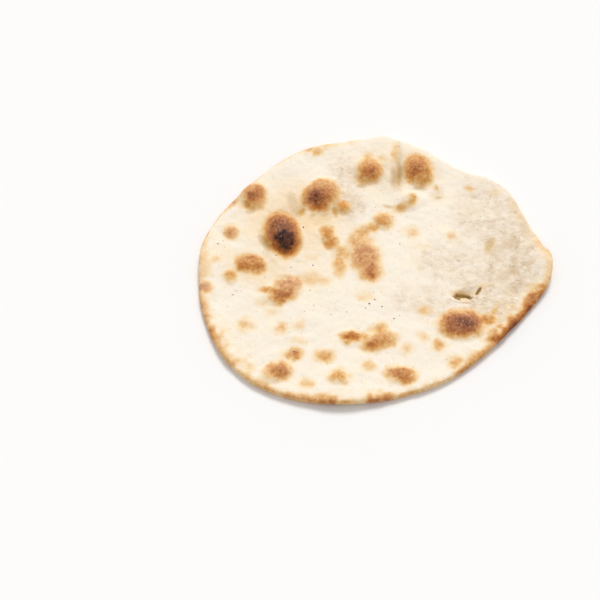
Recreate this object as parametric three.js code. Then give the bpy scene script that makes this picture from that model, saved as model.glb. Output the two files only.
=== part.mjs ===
// Tandoori roti: one sheet of unleavened wheat dough, blistered on the wall of a clay oven.
// Lengths are millimetres and angles are degrees. The roti lies flat with its blistered side up:
// +Z is up, Z = 0 is the surface it rests on, and the origin is the middle of its footprint.
// +Y points at the edge with the tall bubbles, and +X at the edge with the small raised lobe.
import * as THREE from "three";

// Driving dimensions.
const DOUGH = 3.1; // thickness of the sheet away from its edge
const RIM_SWELL = 0.8; // how much thicker the sheet is along its edge
const RIM_BAND = 15; // width of the band in which it thickens
const EDGE_ROUND = 1.9; // radius of the rounded edge
const SETTLED = 0.9; // how far the soft sheet has slumped onto the surface below it
const SLUMP_BLEND = 1.2; // how gently the slumped areas run into the raised ones

// Spacing of the facets.
const TOP_STEP = 2.95;
const BASE_STEP = 5.5;
const EDGE_ROWS = 4;

// The edge seen from above, anticlockwise from the tip of the lobe.
const EDGE = [
  [101.8, -1],
  [100.8, 5.6],
  [97.4, 10.6],
  [95, 18],
  [90.3, 28.4],
  [81.5, 49.5],
  [71.5, 60],
  [58.5, 64.5],
  [46, 71.5],
  [34, 80],
  [21, 87],
  [10, 92.2],
  [-4, 90.2],
  [-20, 87.4],
  [-36, 84],
  [-50, 76.5],
  [-66, 63],
  [-80, 48],
  [-93, 30],
  [-100.5, 13],
  [-101.8, -4],
  [-100.5, -24],
  [-95.5, -43],
  [-86.5, -62],
  [-71, -78],
  [-48, -88.5],
  [-20, -92.2],
  [9, -88],
  [37, -77.5],
  [61, -59],
  [82, -37],
  [98.2, -15.5],
];

// Broad swells that lift the sheet off the surface: middle, reach and height of each.
const SWELLS = [
  { x: 8, y: 74, reach: 31, rise: 3.6 },
  { x: -52, y: 56, reach: 28, rise: 2.4 },
  { x: -101, y: 2, reach: 24, rise: 2.2 },
  { x: 99, y: 1, reach: 20, rise: 4.6 },
  { x: 74, y: 44, reach: 20, rise: 1.5 },
  { x: 72, y: -50, reach: 20, rise: 2.2 },
  { x: -22, y: -92, reach: 27, rise: 2.6 },
  { x: -88, y: -58, reach: 16, rise: 1.2 },
];

// Bubbles on the upper side: middle, half widths across and along, turn, and height.
const BUBBLES = [
  { x: -53.6, y: 20.4, wide: 11.8, long: 16.6, turn: 16, rise: 6.4 },
  { x: -30.8, y: 46.6, wide: 12.8, long: 14.4, turn: -36, rise: 5.8 },
  { x: -17.4, y: 38, wide: 5.8, long: 5.4, turn: 0, rise: 2.3 },
  { x: -70.9, y: 46, wide: 9.8, long: 11, turn: 0, rise: 3.4 },
  { x: -1.6, y: 64.6, wide: 10.2, long: 11.4, turn: 0, rise: 3.9 },
  { x: 27.8, y: 65.2, wide: 10, long: 12.2, turn: 12, rise: 4.7 },
  { x: 21.4, y: 44, wide: 12.6, long: 8.4, turn: 6, rise: 2.4 },
  { x: 5.7, y: 29.4, wide: 6.6, long: 6.6, turn: 0, rise: 1.9 },
  { x: -6.4, y: 3, wide: 10.6, long: 17, turn: 8, rise: 1.4 },
  { x: -25.5, y: 16, wide: 6.4, long: 10, turn: 18, rise: 1.2 },
  { x: -83.8, y: 20.8, wide: 6, long: 6, turn: 0, rise: 1.2 },
  { x: -72.9, y: -1.1, wide: 11, long: 8, turn: -8, rise: 1.7 },
  { x: -83.2, y: -9.4, wide: 6, long: 6, turn: 0, rise: 1.1 },
  { x: -53.5, y: -20, wide: 13.4, long: 9.4, turn: 24, rise: 1.8 },
  { x: -15.6, y: -50.4, wide: 7.6, long: 6, turn: 0, rise: 1.2 },
  { x: 0.4, y: -52, wide: 12.4, long: 7.8, turn: 20, rise: 1.5 },
  { x: 47.5, y: -42, wide: 15, long: 10.6, turn: 0, rise: 3 },
  { x: -56, y: -72, wide: 10, long: 8, turn: 15, rise: 2.4 },
  { x: 12, y: -74, wide: 11, long: 7, turn: -10, rise: 1.8 },
  { x: -22, y: -76, wide: 7, long: 6, turn: 0, rise: 1.2 },
];

// The crease between the two tall bubbles, from its deep end out to the edge. It bends the whole
// sheet down, and loses a share of its depth on the way.
const CREASE = { from: [16, 57], to: [13.4, 97], halfWidth: 3, depth: 3.2, fade: 0.6 };

// A burst bubble: a shallow pit under its torn skin.
const BURST = { x: 51, y: -21.5, wide: 9, long: 4.4, turn: 20, depth: 1.5 };

// Slow unevenness of the sheet: height, waves per millimetre along X and Y, and start of each wave.
const SHEET_WAVES = [
  [0.34, 0.088, 0.051, 0.4],
  [0.27, -0.062, 0.113, 2.2],
  [0.2, 0.171, -0.094, 4.1],
  [0.16, 0.127, 0.189, 1.3],
];
// The same for the outlines of the bubbles, which wander sideways and lengthways.
const SIDEWAYS_WAVES = [
  [0.9, 0.13, 0.21, 0.6],
  [0.6, 0.29, -0.17, 2.1],
];
const LENGTHWAYS_WAVES = [
  [0.9, 0.19, -0.12, 4],
  [0.6, 0.09, 0.31, 1.2],
];

const wavesAt = (waves, x, y) =>
  waves.reduce((sum, [height, alongX, alongY, start]) => sum + height * Math.sin(alongX * x + alongY * y + start), 0);

// How far (x, y) lies from the middle of an oval, where 1 is its outline.
function ovalShare({ x: middleX, y: middleY, wide, long, turn }, x, y) {
  const angle = THREE.MathUtils.degToRad(turn);
  const across = (x - middleX) * Math.cos(angle) + (y - middleY) * Math.sin(angle);
  const along = (y - middleY) * Math.cos(angle) - (x - middleX) * Math.sin(angle);
  return Math.hypot(across / wide, along / long);
}

// A dome of height 1 at the middle of its oval, with a clear foot.
const dome = (share) => (share < 1 ? Math.pow(1 - Math.pow(share, 2.4), 1.5) : 0);

function bubblesAt(x, y) {
  const wanderedX = x + wavesAt(SIDEWAYS_WAVES, x, y);
  const wanderedY = y + wavesAt(LENGTHWAYS_WAVES, x, y);
  return Math.max(...BUBBLES.map((bubble) => bubble.rise * dome(ovalShare(bubble, wanderedX, wanderedY))));
}

function creaseAt(x, y) {
  const [fromX, fromY] = CREASE.from;
  const [toX, toY] = CREASE.to;
  const lengthSquared = (toX - fromX) ** 2 + (toY - fromY) ** 2;
  const share = ((x - fromX) * (toX - fromX) + (y - fromY) * (toY - fromY)) / lengthSquared;
  const nearest = THREE.MathUtils.clamp(share, 0, 1);
  const away = Math.hypot(x - fromX - nearest * (toX - fromX), y - fromY - nearest * (toY - fromY));
  return CREASE.depth * Math.exp(-((away / CREASE.halfWidth) ** 2)) * (1 - CREASE.fade * nearest);
}

// Height of the sheet's lower side before it slumps: below 0 it lies on the surface.
function liftAt(x, y) {
  const swelling = SWELLS.reduce(
    (sum, swell) => sum + swell.rise * Math.exp(-((x - swell.x) ** 2 + (y - swell.y) ** 2) / swell.reach ** 2),
    0,
  );
  return swelling + wavesAt(SHEET_WAVES, x, y) - creaseAt(x, y) - SETTLED;
}

const baseAt = (x, y) => Math.max(0, liftAt(x, y));

function topAt(x, y, fromEdge) {
  const lift = liftAt(x, y);
  const slumped = (lift + Math.hypot(lift, SLUMP_BLEND)) / 2;
  const rim = RIM_SWELL * (1 - THREE.MathUtils.smoothstep(fromEdge, EDGE_ROUND, RIM_BAND));
  const pit = BURST.depth * dome(ovalShare(BURST, x, y));
  return slumped + DOUGH + rim + bubblesAt(x, y) - pit;
}

const edge = new THREE.CatmullRomCurve3(
  EDGE.map(([x, y]) => new THREE.Vector3(x, y, 0)),
  true,
  "catmullrom",
);

// One closed ring of points, all inset by the same distance from the edge. Level is the height as
// a share of the sheet's half thickness there: 1 on the upper side and -1 on the lower side.
function ring(count, insetOf, level) {
  const points = [];
  for (let i = 0; i < count; i++) {
    const onEdge = edge.getPointAt(i / count);
    const radius = Math.hypot(onEdge.x, onEdge.y);
    const inset = insetOf(radius);
    const [x, y] = [onEdge.x * (1 - inset / radius), onEdge.y * (1 - inset / radius)];
    const [base, top] = [baseAt(x, y), topAt(x, y, inset)];
    points.push([x, y, (top + base + level * (top - base)) / 2]);
  }
  return points;
}

// Rings from the middle out to where the edge starts to round.
function sideRings(step, level) {
  const rimCount = Math.round(edge.getLength() / step);
  const meanRadius = edge.getLength() / (2 * Math.PI);
  const steps = Math.round(meanRadius / step);
  const rings = [];
  for (let k = 1; k <= steps; k++) {
    const share = k / steps;
    rings.push(ring(Math.max(6, Math.round(rimCount * share)), (radius) => radius - (radius - EDGE_ROUND) * share, level));
  }
  return rings;
}

// Rings down the rounded edge, between the upper and the lower side.
function edgeRings(count) {
  const rings = [];
  for (let row = 1; row < EDGE_ROWS; row++) {
    const angle = (Math.PI * row) / EDGE_ROWS;
    rings.push(ring(count, () => EDGE_ROUND * (1 - Math.sin(angle)), Math.cos(angle)));
  }
  return rings;
}

// The roti's skin: out over the upper side, round the edge, and in again under the lower side.
function rotiGeometry() {
  const upper = sideRings(TOP_STEP, 1);
  const lower = sideRings(BASE_STEP, -1).reverse();
  const rimCount = upper.at(-1).length;
  const rings = [...upper, ...edgeRings(rimCount), ...lower];
  const positions = [[0, 0, topAt(0, 0, Infinity)], ...rings.flat(), [0, 0, baseAt(0, 0)]];
  const triangles = [];
  let start = 1;
  rings[0].forEach((_, i, first) => triangles.push(0, start + i, start + ((i + 1) % first.length)));
  for (let k = 0; k + 1 < rings.length; k++) {
    const [inner, outer] = [rings[k].length, rings[k + 1].length];
    zip(triangles, start, inner, start + inner, outer);
    start += inner;
  }
  const last = rings.at(-1).length;
  for (let i = 0; i < last; i++) triangles.push(start + ((i + 1) % last), start + i, start + last);
  return new THREE.BufferGeometry()
    .setAttribute("position", new THREE.Float32BufferAttribute(positions.flat(), 3))
    .setIndex(triangles);
}

// Triangles between two rings that may hold different numbers of points.
function zip(triangles, innerStart, innerCount, outerStart, outerCount) {
  const inner = (i) => innerStart + (i % innerCount);
  const outer = (j) => outerStart + (j % outerCount);
  for (let i = 0, j = 0; i < innerCount || j < outerCount; ) {
    const advanceOuter = i === innerCount || (j < outerCount && (j + 1) / outerCount <= (i + 1) / innerCount);
    if (advanceOuter) {
      triangles.push(inner(i), outer(j), outer(j + 1));
      j++;
    } else {
      triangles.push(inner(i), outer(j), inner(i + 1));
      i++;
    }
  }
}

const geometry = rotiGeometry();
geometry.computeVertexNormals();

const roti = new THREE.Mesh(geometry, new THREE.MeshStandardMaterial({ color: 0xeedcc0, roughness: 0.85, metalness: 0 }));
roti.name = "roti";

const bread = new THREE.Group();
bread.add(roti);

export default bread;
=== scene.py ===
import math
from collections import namedtuple
from functools import reduce

import bmesh
import bpy
import numpy as np
from bpy.props import FloatProperty, FloatVectorProperty, IntProperty, PointerProperty
from mathutils import Matrix, Vector
from mathutils.bvhtree import BVHTree


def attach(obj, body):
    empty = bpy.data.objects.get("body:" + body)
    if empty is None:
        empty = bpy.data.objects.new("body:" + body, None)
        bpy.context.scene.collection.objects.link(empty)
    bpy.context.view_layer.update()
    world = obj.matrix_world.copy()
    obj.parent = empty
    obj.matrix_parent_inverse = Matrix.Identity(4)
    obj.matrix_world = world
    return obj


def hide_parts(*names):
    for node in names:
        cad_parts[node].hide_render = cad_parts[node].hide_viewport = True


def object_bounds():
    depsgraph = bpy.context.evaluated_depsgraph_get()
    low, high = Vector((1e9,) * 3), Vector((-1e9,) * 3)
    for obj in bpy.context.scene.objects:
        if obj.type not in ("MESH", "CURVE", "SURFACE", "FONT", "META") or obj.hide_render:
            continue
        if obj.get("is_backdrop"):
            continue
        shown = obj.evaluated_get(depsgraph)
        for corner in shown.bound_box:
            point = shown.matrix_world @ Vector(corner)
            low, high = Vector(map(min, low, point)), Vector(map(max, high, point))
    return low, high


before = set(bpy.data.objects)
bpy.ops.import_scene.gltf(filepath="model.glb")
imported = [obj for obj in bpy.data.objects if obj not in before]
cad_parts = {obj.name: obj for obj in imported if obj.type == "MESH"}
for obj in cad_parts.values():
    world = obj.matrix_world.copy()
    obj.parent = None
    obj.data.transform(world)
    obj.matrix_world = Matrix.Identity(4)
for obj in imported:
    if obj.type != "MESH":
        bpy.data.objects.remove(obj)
CAD_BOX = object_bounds()

bl_info = {
    "name": "Tandoori Roti",
    "version": (1, 1, 0),
    "blender": (4, 5, 0),
    "location": "3D View > Sidebar > Roti",
    "description": "Builds a tandoori roti with charred bubbles, toasted spots and a burst bubble",
    "category": "Add Mesh",
}

BODY = "root"
NODE = "roti"

# The tables below are in millimetres and degrees, as bread is measured. The meshes are in metres.
MM = 0.001

# The edge seen from above, anticlockwise from the tip of the lobe.
EDGE = [
    (101.8, -1), (100.8, 5.6), (97.4, 10.6), (95, 18), (90.3, 28.4), (81.5, 49.5), (71.5, 60),
    (58.5, 64.5), (46, 71.5), (34, 80), (21, 87), (10, 92.2), (-4, 90.2), (-20, 87.4), (-36, 84),
    (-50, 76.5), (-66, 63), (-80, 48), (-93, 30), (-100.5, 13), (-101.8, -4), (-100.5, -24),
    (-95.5, -43), (-86.5, -62), (-71, -78), (-48, -88.5), (-20, -92.2), (9, -88), (37, -77.5),
    (61, -59), (82, -37), (98.2, -15.5),
]  # fmt: skip

# Bubbles, spots and patches are ovals. Wide and long are half their width and length.
Oval = namedtuple("Oval", "x y wide long turn")
Bubble = namedtuple("Bubble", "x y wide long rise turn", defaults=[0])
Spot = namedtuple("Spot", "x y wide long toast dust crisp turn", defaults=[0, 0.1, 0])
Patch = namedtuple("Patch", "x y wide long strength turn", defaults=[0])
Swell = namedtuple("Swell", "x y reach rise")
RimToast = namedtuple("RimToast", "start end width toast dust", defaults=[0])


def table(kind, *rows):
    return [kind(*row) for row in rows]


# Broad swells that lift the sheet off the surface.
SWELLS = table(
    Swell,
    (8, 74, 31, 3.6),
    (-52, 56, 28, 2.4),
    (-101, 2, 24, 2.2),
    (99, 1, 20, 4.6),
    (74, 44, 20, 1.5),
    (72, -50, 20, 2.2),
    (-22, -92, 27, 2.6),
    (-88, -58, 16, 1.2),
)

BUBBLES = table(
    Bubble,
    (-53.6, 20.4, 11.8, 16.6, 6.4, 16),
    (-30.8, 46.6, 12.8, 14.4, 5.8, -36),
    (-17.4, 38, 5.8, 5.4, 2.3),
    (-70.9, 46, 9.8, 11, 3.4),
    (-1.6, 64.6, 10.2, 11.4, 3.9),
    (27.8, 65.2, 10, 12.2, 4.7, 12),
    (21.4, 44, 12.6, 8.4, 2.4, 6),
    (5.7, 29.4, 6.6, 6.6, 1.9),
    (-6.4, 3, 10.6, 17, 1.4, 8),
    (-25.5, 16, 6.4, 10, 1.2, 18),
    (-83.8, 20.8, 6, 6, 1.2),
    (-72.9, -1.1, 11, 8, 1.7, -8),
    (-83.2, -9.4, 6, 6, 1.1),
    (-53.5, -20, 13.4, 9.4, 1.8, 24),
    (-15.6, -50.4, 7.6, 6, 1.2),
    (0.4, -52, 12.4, 7.8, 1.5, 20),
    (47.5, -42, 15, 10.6, 3),
    (-56, -72, 10, 8, 2.4, 15),
    (12, -74, 11, 7, 1.8, -10),
    (-22, -76, 7, 6, 1.2),
)

# The crease between the two tall bubbles, from its deep end out to the edge.
CREASE_FROM = (16, 57)
CREASE_TO = (13.4, 97)
CREASE_HALF_WIDTH = 3
CREASE_DEPTH = 3.2
CREASE_FADE = 0.6

# The burst bubble's pit under its torn skin.
BURST = Oval(51, -21.5, 9, 4.4, 20)
BURST_DEPTH = 1.5

# What shows of it up close: the dark gap, the skin above it that turns in, the flap that stands
# in it, and a slit beside it. The gap, the slit and the skin above are tinted with painted shade.
GAP = Oval(48.7, -23.3, 6.1, 2.8, -4)
LIP = Oval(49.4, -20.9, 4.8, 2.2, -4)
GAP_DEPTH = 1.45
FLAP = Oval(50.1, -25.2, 2.6, 1.9, -8)
FLAP_RISE = 0.1
SLIT = Oval(58.2, -19.4, 0.75, 2.9, -33)
SLIT_DEPTH = 1.2
LIP_SHADE = 0.62  # how strongly the skin that turns in is tinted with painted shade, from 0 to 1
TORN = Oval(50, -22.5, 13, 8.5, 0)  # where the mesh is finer

# The fold at the bottom of the crease, against the taller bubble's foot.
FOLD = Oval(15.9, 63.6, 1.9, 10.4, -2)
FOLD_DEPTH = 1.5
FOLD_SHADE = 0.74  # how strongly the fold is tinted with painted shade, from 0 to 1

# Slow waves: height, radians per millimetre along X and Y, and start in radians.
SHEET_WAVES = [
    (0.34, 0.088, 0.051, 0.4), (0.27, -0.062, 0.113, 2.2),
    (0.2, 0.171, -0.094, 4.1), (0.16, 0.127, 0.189, 1.3),
]  # fmt: skip
SIDEWAYS_WAVES = [(0.9, 0.13, 0.21, 0.6), (0.6, 0.29, -0.17, 2.1)]
LENGTHWAYS_WAVES = [(0.9, 0.19, -0.12, 4), (0.6, 0.09, 0.31, 1.2)]

# Toasted spots of the upper side. Toast runs from 0, raw cream, to 1, black. Dust is how floury
# the spot looks. Crisp is where the fade to cream begins, as a share of the oval.
DOMED_SPOTS = table(
    Spot,
    # the charred bubble: its toasted dome, its dark side, the floury top of its core, which is partly a
    # painted sheen, and its black core
    (-54.2, 20.4, 13.2, 18.6, 0.34, 0, 0.6, 16),
    (-53.8, 21.2, 11.5, 16.2, 0.54, 0.5, 0.62, 16),
    (-54, 18, 10.2, 13, 0.71, 0.8, 0.5, 22),
    (-52, 12.4, 9.8, 10.6, 0.85, 0.1, 0.25, 34),
    # the big bubble, its dark side and core, and the small one at its foot
    (-31, 46.4, 13.4, 15, 0.2, 0, 0.6, -36),
    (-31.5, 46.5, 11.6, 13.4, 0.42, 0.4, 0.64, -36),
    (-27, 48.8, 7.4, 7.4, 0.36, 0.8, 0.2),
    (-33.8, 43.8, 8.4, 7.6, 0.69, 0.8, 0.4, -10),
    (-33.8, 43.2, 5.2, 5, 0.52, 0.2, 0.2),
    (-33, 37.6, 6.2, 3.8, 0.63),
    (-17.8, 38.6, 4.8, 5.2, 0.46, 0, 0.2, -20),
    # the bubble by the upper left edge
    (-70.9, 45.8, 10.8, 12.4, 0.2, 0, 0.5),
    (-71, 47, 8.4, 9.2, 0.42, 0.5, 0.5),
    (-71.4, 45, 5.8, 5.6, 0.66, 0.5),
    (-72.8, 40.4, 4.4, 3.8, 0.42),
    (-71.4, 39.4, 7.6, 3.8, 0.28, 0, 0.3),
    # the two tall bubbles each side of the crease
    (-1.6, 64.6, 8.8, 10.4, 0.42, 0.2, 0.45),
    (-2.4, 73.2, 5, 6, 0.28, 0.2, 0.1, 10),
    (-5.8, 59.4, 5.6, 5.4, 0.3, 0, 0.3),
    (0.6, 58.4, 7.4, 4.6, 0.2, 0, 0.2),
    (-0.6, 62.4, 6.2, 6.4, 0.62, 0.5),
    (-4.8, 62.4, 4.4, 5.6, 0.44, 0, 0.2),
    (27.6, 65.2, 9.8, 13.2, 0.38, 0, 0.6, 12),
    (26.8, 68.2, 8.4, 9.4, 0.4, 0.4, 0.5),
    (24, 60.6, 6.6, 6.6, 0.38, 0, 0.1, 20),
    (26.4, 64.2, 7.8, 7.8, 0.59, 0.6, 0.2),
    # the round bubbles of the left side
    (-83.8, 20.8, 5.2, 6.2, 0.42, 0.6),
    (-83.2, -9.5, 4.8, 5.2, 0.34, 0, 0.2),
)
FLAT_SPOTS = table(
    Spot,
    # the faint warm tint between the bubbles, and two small spots there
    (-48, 30, 40, 34, 0.085, 0, 0.5, 10),
    (-40, 6, 34, 24, 0.045, 0, 0.4),
    (-35, 37, 20, 20, 0.13, 0, 0.4),
    (12, 66, 36, 24, 0.05, 0, 0.4),
    (-68, -3, 24, 18, 0.09, 0, 0.4),
    (-90, 5, 13, 8, 0.09, 0, 0.3),
    (-43, 34.8, 4.2, 3.4, 0.34, 0, 0, 20),
    (-22.3, 35.6, 2, 4.2, 0.3, 0, 0, 10),
    # the comma on the pale dome
    (22.8, 43.6, 3.2, 4.4, 0.36, 0, 0.1, -10),
    (19, 40, 3, 2.6, 0.15),
    (15.4, 38.2, 4.2, 3, 0.33, 0, 0.1, 15),
    (8.8, 39.4, 4.4, 1.8, 0.1, 1, 0, -15),
    # the trail from the small round bubble down to the large flat spot
    (5.9, 29.2, 6.8, 6.8, 0.42, 0.1),
    (-1, 24.8, 6.4, 4.2, 0.36, 0, 0.1, 25),
    (-7.8, 21.2, 7.2, 5.4, 0.31, 0.1, 0.1, 30),
    (-11.4, 14.6, 6.4, 7.4, 0.34, 0.5, 0.2),
    (-4.4, 15.2, 5.4, 4.2, 0.26, 0.4),
    (-6.4, 4, 10.4, 12.2, 0.44, 0.7, 0.4, 8),
    (-3.2, -6.2, 7.4, 9.4, 0.46, 0.5, 0.3),
    (-3.4, -9, 4.6, 4.6, 0.54, 0.2, 0),
    (-21, 0, 6, 12, 0.31, 0, 0.2),
    (-18.6, 7.6, 5.2, 6.2, 0.33, 0.1, 0.1, 30),
    (-27.2, 20.6, 5.2, 6.2, 0.43, 0.1, 0.25),
    (-25.6, 14.2, 5.4, 6.2, 0.46, 0, 0.25, 15),
    # the left side
    (-72.9, -0.4, 10.2, 7.8, 0.51, 0.3, 0.4, -6),
    (-76.4, -2, 5, 4.4, 0.52, 0.1, 0),
    (-67.8, -4.4, 5.4, 4.6, 0.52, 0.2),
    (-92, 1.9, 4.2, 3.8, 0.2),
    (-50.4, -16.2, 10.4, 8.4, 0.43, 0.8, 0.35, 25),
    (-54.2, -22.8, 9.4, 6.4, 0.49, 0.4, 0.3, 15),
    (-53, -24.2, 6.8, 4, 0.6, 0.2, 0, 10),
    (-60.6, -19.6, 8.4, 3.6, 0.42, 0.1, 0.1, -8),
    (-37, -11.6, 8.4, 7.6, 0.22, 0, 0.2, 10),
    (-30, -12.6, 5.6, 4.6, 0.2),
    (-74, -42.4, 5.6, 5.4, 0.26, 0.2),
    (-54, -44.2, 5.2, 4.6, 0.27),
    (-44, -42.6, 3.6, 3.4, 0.17, 0.2),
    (-59.4, -33.3, 4.8, 3.4, 0.17),
    (-64.4, -27.6, 3.8, 3.2, 0.2),
    (-52, 3.6, 4.2, 2.6, 0.14),
    (-36, 4, 5.2, 3, 0.13),
    (-44, -52, 5, 2.6, 0.13),
    # the middle and the right side
    (-6.6, -22.9, 6.2, 3.8, 0.15, 0.1),
    (22.3, 21, 4.8, 4.6, 0.23, 0.6),
    (44.6, 18.2, 2.8, 3.2, 0.27, 0.8),
    (66.6, 11.8, 3.8, 6.6, 0.15, 0, 0.1, -20),
    (60.2, -15.6, 4.6, 2.4, 0.18, 1, 0.1, 15),
    (50.1, -25.3, 2.8, 2, 0.13, 0, 0.2),
    (48.4, -20.6, 5.8, 2.6, 0.24),
    (57.3, 52.6, 2.2, 2.2, 0.3, 1, 0),
    (72.6, 48.9, 3.8, 3, 0.14, 0.8),
    (38, 53.2, 2.6, 4, 0.14, 1, 0, 10),
    (38.6, 46.4, 6.4, 3.4, 0.09, 0.7),
    (28, 10.4, 6, 2.6, 0.12, 0.5),
    (26.6, -32.4, 3.8, 3.4, 0.28, 0.2),
    (25.4, -49.8, 3.8, 3.2, 0.17),
    (33.7, -55, 4.2, 4.2, 0.36),
    (15.4, -57.7, 3.6, 3.4, 0.22),
    (-15.4, -50.2, 7.4, 5, 0.6),
    (-8, -50, 5.2, 3.6, 0.32, 0, 0.1, 10),
    (1.4, -53, 11.4, 6.6, 0.42, 0.2, 0.35, 22),
    (-3, -55, 7.4, 4.8, 0.52, 0.3, 0.1, 15),
    (1.2, -45, 6.4, 5.2, 0.34, 0.1),
    (47.7, -41.6, 15.2, 10.6, 0.44, 0.3, 0.6),
    (48, -42, 12.6, 8.8, 0.68, 0.9, 0.45),
    (49.4, -43.2, 9.8, 6.6, 0.68, 1),
    (62.4, -38.6, 6.2, 4, 0.42, 0.1, 0.3, 10),
    (64.6, -35.8, 1.6, 4.4, 0.3, 0, 0.1, -29),
    (66.8, -31.6, 1, 4.4, 0.26, 0.2, 0, -29),
    # by the upper and the left edge, and in the crease
    (-32.8, 80.2, 3.8, 4, 0.36),
    (-84, 42.2, 3.4, 5.6, 0.52, 0.9, 0.1, -48),
    (-98.6, -17.6, 5.4, 4.2, 0.42, 1, 0.3),
    (13.8, 78.6, 3.8, 9.4, 0.24, 0, 0.1, -4),
    # the floury spot along the fold: painted shade of the crease
    (15.6, 63, 2.2, 9, 0.18, 1, 0, -2),
    (6, 73.6, 3.2, 3.4, 0.24, 0.2),
    # by the right and the lower edge
    (86.8, -27.8, 4.6, 10.6, 0.53, 0.3, 0.3, -37),
    (81.6, -36, 3.4, 6, 0.5, 0.2, 0.2, -40),
    (-47.7, -61.1, 6.6, 4.8, 0.48, 0.4, 0.2),
    (-30.3, -62.4, 6.6, 4.8, 0.36, 0.1, 0.2),
    (-56, -72, 9.4, 7.2, 0.5, 0.5, 0.3, 15),
    (12, -74, 10.4, 6.4, 0.5, 0.4, 0.3, -10),
    (-22, -76, 6.6, 5.6, 0.4, 0.1, 0.2),
    (42, -66, 4.8, 4.2, 0.32, 0.1),
    (-6, -68, 4.2, 3.8, 0.24),
    (-40, -80, 4.8, 3.8, 0.26),
)

# Toast along the edge, between two bearings counted anticlockwise from +X.
RIM_TOAST = table(
    RimToast,
    (-10, 1, 4.2, 0.21, 0.2),
    (3, 8, 5.6, 0.22, 0.8),
    (10, 27, 4.4, 0.12),
    (98, 117, 3.4, 0.23),
    (114, 150, 1.3, 0.3, 1),
    (149, 157, 1.6, 0.5, 0.9),
    (156, 173, 1.1, 0.36, 0.5),
    (171, 206, 5, 0.27, 0.6),
    (204, 222, 6.6, 0.35, 0.3),
    (220, 240, 3, 0.3, 0.1),
    (238, 256, 3.6, 0.4, 0.3),
    (255, 268, 2.4, 0.28, 0.1),
    (266, 276, 4, 0.46, 0.4),
    (275, 300, 2.6, 0.28, 0.1),
    (298, 324, 3.4, 0.38, 0.2),
    # along the lower right edge the dark toast is partly painted shadow
    (318, 349, 7.4, 0.39, 0.2),
    (320, 346, 5.6, 0.68, 0.2),
)

# Where the skin is leathery and greyer than the rest: partly its own drier colour, and partly painted shade
# in the valleys by the bubbles, in the crease and over the right side.
LEATHER_AND_SHADE = table(
    Patch,
    (78, -2, 22, 22, 1),
    (84, 14, 18, 17, 0.86),
    (70, 34, 32, 34, 0.6),
    (50, -5, 27, 22, 0.7),
    (67, -26, 28, 17, 0.9, 25),
    (32, -24, 26, 14, 0.5),
    (6, 66, 26, 14, 0.5),
    (13.4, 61, 4.6, 11, 1),
    (-17, 62, 13, 20, 0.66),
    (-13, 40, 9, 14, 0.7),
    (-15.5, 48, 5, 8, 0.7),
    (-45, 38, 6, 9, 0.4),
)

# Olive tints of the skin: a few are real stains, and most, in the lee of a bubble or in the crease, are
# painted shade.
STAINS_AND_SHADE = table(
    Patch,
    (-64.4, 14, 2.6, 7.4, 0.55, 25),
    (-62.4, 5.6, 3.6, 2.6, 0.15, -35),
    (-72.5, 35.6, 3.6, 1.8, 0.35),
    (-44.6, 36.2, 5, 4.4, 0.36, 20),
    (-48.4, 43.2, 3.2, 8.4, 0.28, 6),
    (-50.5, 37, 6, 4, 0.2),
    (-36, 33, 1.8, 1.4, 0.3),
    (-22.3, 35.6, 1.8, 4, 0.42, 10),
    (-6.6, 54, 4.4, 1.8, 0.5),
    (28, 52.4, 4.8, 1.4, 0.35),
    (13.4, 62, 4, 9.5, 0.4),
    (20, 42, 6.4, 5.6, 0.26, 20),
    (9, 39.2, 4.4, 1.4, 0.4, -15),
    (38, 53.2, 1.7, 3.4, 0.5, 20),
    (38.5, 49.6, 5.5, 6.4, 0.14),
    (38.8, 46.2, 3.6, 1.7, 0.42, 10),
    (66.4, 12, 2.6, 4.8, 0.36, -25),
    (80, 14, 4.4, 4.4, 0.3),
    (80, -5, 4.6, 4, 0.25, 30),
    (78, -17, 3.6, 3, 0.25),
    (89.6, -2, 2.8, 1.4, 0.3, 25),
    (48, 1.4, 1.5, 1.4, 0.35),
    (-59, 1, 3.2, 2.6, 0.15),
    (-45, 1, 3.2, 2.4, 0.15),
    (-53, -9.6, 5, 2.2, 0.14),
)

# Black specks that show from a step away: place and width.
CHAR_SPECKS = [
    (-91.2, 12.5, 1.1), (-88.3, 14.6, 0.8), (-41.5, 24.5, 1.3), (-36, -1.8, 1.2), (-57.4, 4.8, 0.9),
    (-81.6, -21.9, 0.9), (-37.8, -19.2, 0.8), (-75.1, -4.2, 0.7), (-48.7, -3.5, 0.8),
    (-4.2, -27.9, 1.4), (-1, -25.2, 1.1), (-6.4, -30.8, 0.9), (2.9, -29.9, 1.1), (9.4, -37.8, 1.1),
    (14.6, 13.2, 0.8), (-17.2, -33.4, 0.8), (-46.8, -59.2, 1.1), (-26, -35.2, 0.7),
]  # fmt: skip
SPECK_SIDES = (1, 0.7, 0.4)  # such a speck's three sides, as shares of its width
SPECK_TURN = 2.4  # radians from one such speck to the next


def srgb(red, green, blue):
    """A colour given as on a screen, 0 to 255, as the linear one that Blender's sockets take."""
    shares = (value / 255 for value in (red, green, blue))
    return tuple(v / 12.92 if v <= 0.04045 else ((v + 0.055) / 1.055) ** 2.4 for v in shares)


# ---------------------------------------------------------------- what a user would change


def length(name, description, millimetres):
    return FloatProperty(
        name=name, description=description, default=millimetres * MM, unit="LENGTH", precision=5
    )


def share(name, description, default):
    return FloatProperty(name=name, description=description, default=default, subtype="FACTOR")


def angle(name, description, degrees):
    return FloatProperty(
        name=name, description=description, default=math.radians(degrees), subtype="ANGLE"
    )


def colour(name, description, *on_screen):
    return FloatVectorProperty(
        name=name, description=description, default=srgb(*on_screen), subtype="COLOR", size=3
    )


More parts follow.
